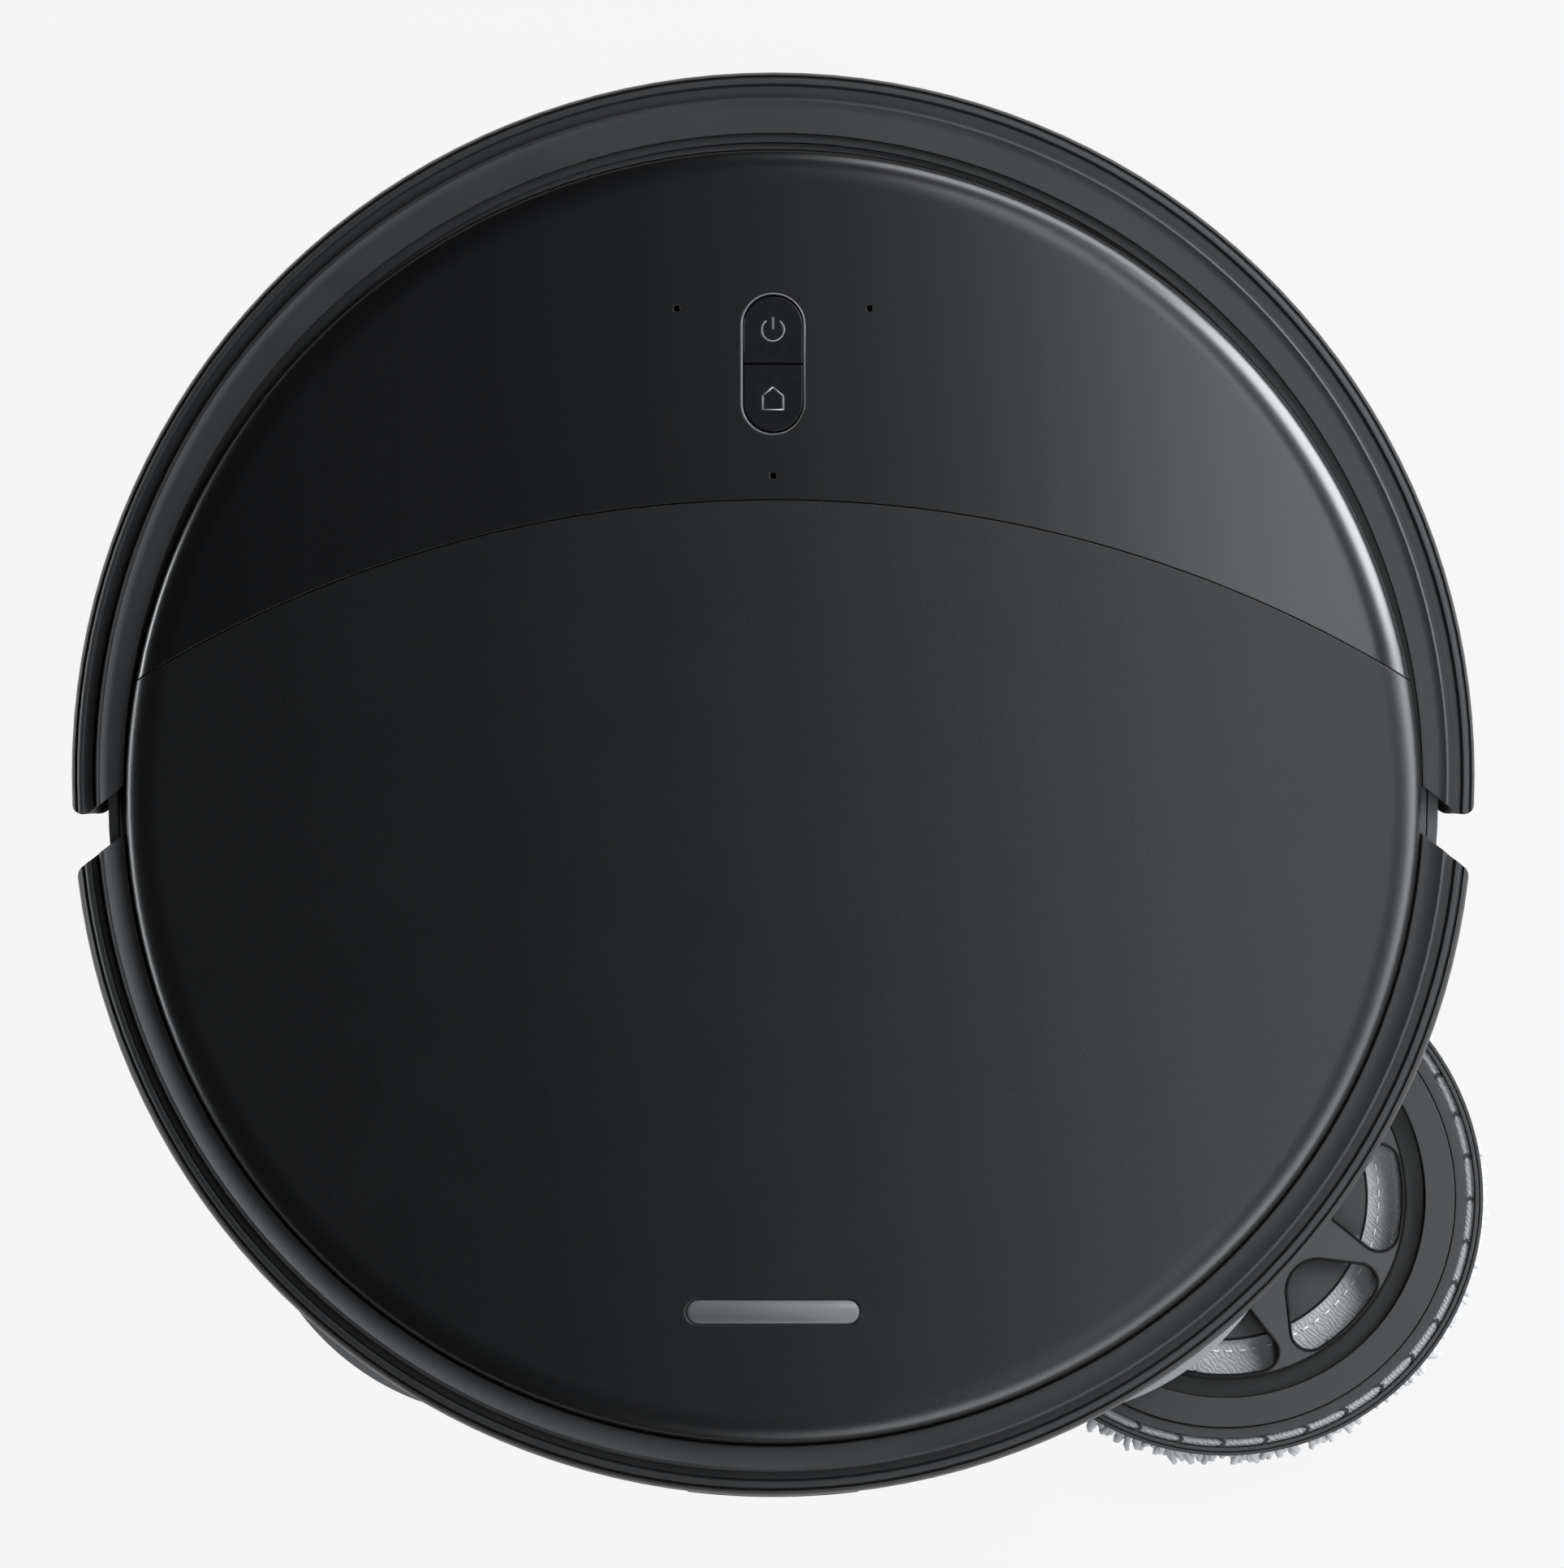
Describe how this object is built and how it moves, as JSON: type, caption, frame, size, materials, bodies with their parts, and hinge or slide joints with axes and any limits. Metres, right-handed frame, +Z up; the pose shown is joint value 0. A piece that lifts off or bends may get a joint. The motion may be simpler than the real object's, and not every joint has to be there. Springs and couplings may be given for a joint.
{
  "type": "robot vacuum cleaner",
  "caption": "Round robot vacuum with a two-part top, a sprung front bumper and two spinning mops, one swung out on an arm.",
  "frame": {"origin": "middle of the whole machine's plan, on the floor it stands on", "axes": "+X to its right, +Y forwards, +Z up"},
  "size_m": [0.3569, 0.3562, 0.08],
  "materials": {
    "body_plastic": "fine grain",
    "shell_plastic": "satin, fine grain",
    "cover_plastic": "matte with a fine speckle",
    "panel_plastic": "smooth satin gloss",
    "button_plastic": "gloss",
    "trim_plastic": "thin bright edge",
    "lens_plastic": "smoked gloss",
    "port_plastic": "satin",
    "contact_metal": "polished",
    "mop_plastic": "satin",
    "hub_plastic": "satin",
    "mop_cloth": "looped microfibre",
    "skirt_plastic": "pale, soft",
    "drive_plastic": "fine grain",
    "tyre_rubber": "moulded tread",
    "rim_plastic": "satin",
    "brush_rubber": "soft, dull",
    "bristle": "soft strands",
    "steel": "plain",
    "fan_metal": "machined",
    "clear_plastic": "smoked",
    "filter_paper": "pleated",
    "battery_wrap": "wrapped",
    "board_laminate": "lacquered"
  },
  "bodies": {
    "body": {"chassis": "body_plastic", "side_wall": "body_plastic", "brush_housing": "body_plastic", "wheel_housing_l": "body_plastic", "wheel_housing_r": "body_plastic", "dustbin_bay": "body_plastic", "rear_shell": "shell_plastic", "deck_frame": "body_plastic", "front_panel": "panel_plastic", "button_ring": "trim_plastic", "sensor_module": "drive_plastic", "bumper_switches": "drive_plastic", "rear_port_panel": "port_plastic", "charge_contacts": "contact_metal", "mop_skirt_l": "skirt_plastic", "mop_skirt_r": "skirt_plastic", "cliff_sensors": "lens_plastic", "underside_screws": "steel", "brush_guard": "body_plastic", "brush_motor": "steel", "side_brush_motor": "steel", "mop_gearbox_l": "drive_plastic", "mop_gearbox_r": "drive_plastic", "fan_housing": "drive_plastic", "suction_duct": "drive_plastic", "battery": "battery_wrap", "main_board": "board_laminate", "water_tank": "clear_plastic", "speaker": "drive_plastic"},
    "bumper": {"bumper": "shell_plastic", "bumper_window": "lens_plastic", "wall_sensor": "lens_plastic"},
    "cover": {"cover": "cover_plastic"},
    "dustbin": {"dustbin_body": "clear_plastic", "dustbin_lid": "drive_plastic", "dustbin_filter": "filter_paper"},
    "power_button": {"power_button": "button_plastic"},
    "dock_button": {"dock_button": "button_plastic"},
    "caster_fork": {"caster_fork": "drive_plastic"},
    "caster_wheel": {"caster_wheel": "rim_plastic"},
    "brush_l": {"main_brush_l": "brush_rubber"},
    "brush_r": {"main_brush_r": "brush_rubber"},
    "wheel_arm_l": {"wheel_arm_l": "drive_plastic"},
    "wheel_arm_r": {"wheel_arm_r": "drive_plastic"},
    "wheel_l": {"drive_rim_l": "rim_plastic", "drive_tyre_l": "tyre_rubber"},
    "wheel_r": {"drive_rim_r": "rim_plastic", "drive_tyre_r": "tyre_rubber"},
    "side_arm": {"side_brush_arm": "drive_plastic"},
    "side_brush": {"side_brush": "bristle"},
    "mop_lift_r": {"mop_shaft_r": "steel"},
    "mop_arm_r": {"mop_arm_r": "drive_plastic"},
    "mop_r": {"mop_plate_r": "mop_plastic", "mop_hub_r": "hub_plastic", "mop_pad_r": "mop_cloth"},
    "mop_lift_l": {"mop_arm_l": "drive_plastic"},
    "mop_l": {"mop_plate_l": "mop_plastic", "mop_hub_l": "hub_plastic", "mop_pad_l": "mop_cloth"},
    "fan": {"fan_impeller": "fan_metal"}
  },
  "joints": [
    {"name": "bumper_press", "type": "slide", "parent": "body", "child": "bumper", "axis": [0, 1, 0], "range_m": [-0.0035, 0], "stiffness_N_per_m": 400, "springref_m": 0.002},
    {"name": "power_press", "type": "slide", "parent": "body", "child": "power_button", "axis": [0, 0, 1], "range_m": [-0.0008, 0], "stiffness_N_per_m": 600, "springref_m": 0.0005},
    {"name": "dock_press", "type": "slide", "parent": "body", "child": "dock_button", "axis": [0, 0, 1], "range_m": [-0.0008, 0], "stiffness_N_per_m": 600, "springref_m": 0.0005},
    {"name": "cover_lift", "type": "slide", "parent": "body", "child": "cover", "axis": [0, 0, 1], "range_m": [0, 0.06]},
    {"name": "dustbin_lift", "type": "slide", "parent": "body", "child": "dustbin", "axis": [0, 0, 1], "range_m": [0, 0.05]},
    {"name": "caster_swivel", "type": "hinge", "parent": "body", "child": "caster_fork", "pos_m": [-0.00315, 0.12525, 0.028], "axis": [0, 0, 1], "continuous": true},
    {"name": "caster_roll", "type": "hinge", "parent": "caster_fork", "child": "caster_wheel", "pos_m": [-0.00315, 0.12525, 0.012], "axis": [1, 0, 0], "continuous": true},
    {"name": "brush_l_spin", "type": "hinge", "parent": "body", "child": "brush_l", "pos_m": [-0.04515, 0.01725, 0.018], "axis": [1, 0, 0], "continuous": true},
    {"name": "brush_r_spin", "type": "hinge", "parent": "body", "child": "brush_r", "pos_m": [0.03885, 0.01725, 0.018], "axis": [1, 0, 0], "continuous": true},
    {"name": "suspension_l", "type": "hinge", "parent": "body", "child": "wheel_arm_l", "pos_m": [-0.10315, 0.04325, 0.044], "axis": [1, 0, 0], "range_deg": [0, 18]},
    {"name": "wheel_l_spin", "type": "hinge", "parent": "wheel_arm_l", "child": "wheel_l", "pos_m": [-0.12115, 0.00525, 0.032], "axis": [1, 0, 0], "continuous": true},
    {"name": "suspension_r", "type": "hinge", "parent": "body", "child": "wheel_arm_r", "pos_m": [0.09685, 0.04325, 0.044], "axis": [1, 0, 0], "range_deg": [0, 18]},
    {"name": "wheel_r_spin", "type": "hinge", "parent": "wheel_arm_r", "child": "wheel_r", "pos_m": [0.11485, 0.00525, 0.032], "axis": [1, 0, 0], "continuous": true},
    {"name": "side_arm_swing", "type": "hinge", "parent": "body", "child": "side_arm", "pos_m": [0.05885, 0.10325, 0.016], "axis": [0, 0, 1], "range_deg": [0, 50]},
    {"name": "side_brush_spin", "type": "hinge", "parent": "side_arm", "child": "side_brush", "pos_m": [0.08485, 0.08525, 0.008], "axis": [0, 0, 1], "continuous": true},
    {"name": "mop_lift_right", "type": "slide", "parent": "body", "child": "mop_lift_r", "axis": [0, 0, 1], "range_m": [0, 0.008]},
    {"name": "mop_arm_swing", "type": "hinge", "parent": "mop_lift_r", "child": "mop_arm_r", "pos_m": [0.09869, -0.05634, 0.019], "axis": [0, 0, 1], "range_deg": [-59.38, 0]},
    {"name": "mop_r_spin", "type": "hinge", "parent": "mop_arm_r", "child": "mop_r", "pos_m": [0.11245, -0.10555, 0.012], "axis": [0, 0, 1], "continuous": true},
    {"name": "mop_lift_left", "type": "slide", "parent": "body", "child": "mop_lift_l", "axis": [0, 0, 1], "range_m": [0, 0.008]},
    {"name": "mop_l_spin", "type": "hinge", "parent": "mop_lift_l", "child": "mop_l", "pos_m": [-0.06965, -0.09325, 0.012], "axis": [0, 0, 1], "continuous": true},
    {"name": "fan_spin", "type": "hinge", "parent": "body", "child": "fan", "pos_m": [-0.04115, -0.12575, 0.045], "axis": [0, 0, 1], "continuous": true}
  ],
  "couplings": [
    {"joint": "dustbin_lift", "follows": "cover_lift", "ratio": 0.8},
    {"joint": "brush_r_spin", "follows": "brush_l_spin", "ratio": 1}
  ]
}
